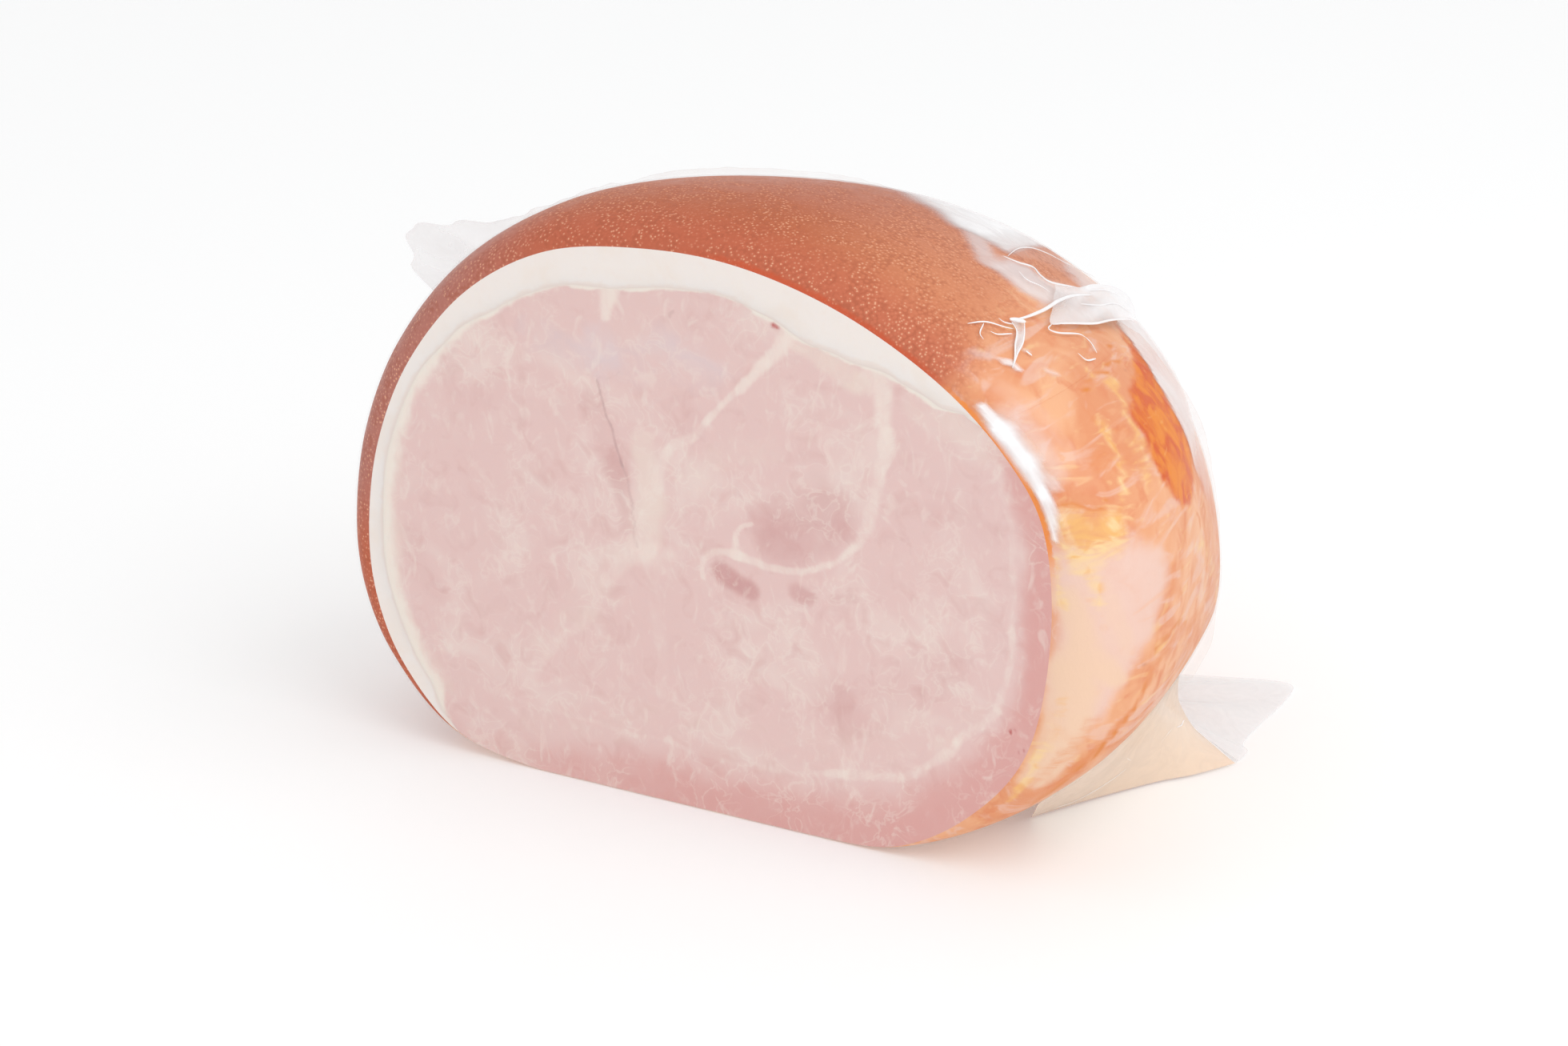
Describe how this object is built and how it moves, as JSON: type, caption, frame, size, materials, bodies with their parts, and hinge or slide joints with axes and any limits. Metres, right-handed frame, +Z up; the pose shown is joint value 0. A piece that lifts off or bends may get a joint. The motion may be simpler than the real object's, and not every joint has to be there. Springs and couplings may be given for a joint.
{
  "type": "prague ham",
  "caption": "Half of a boneless pressed ham with its cut face, fat and rind, sealed in tight clear film with trimmed corner ears.",
  "frame": {"origin": "middle of the flat underside, on the surface that the ham stands on", "axes": "+Z up, -Y out of the cut face, +X along the cut face to its right as it is looked at"},
  "size_m": [0.2453, 0.1553, 0.1609],
  "materials": {
    "lean": "pale pink cured lean with paler seams, smoked to peach and amber on its outside",
    "fat_rind": "cream white fat where it is cut, under a smoked brown rind",
    "film": "clear glossy shrink film, whitish where it is folded or stands free"
  },
  "bodies": {
    "root": {"lean_meat": "lean", "fat_cap": "fat_rind", "film": "film"}
  },
  "joints": []
}
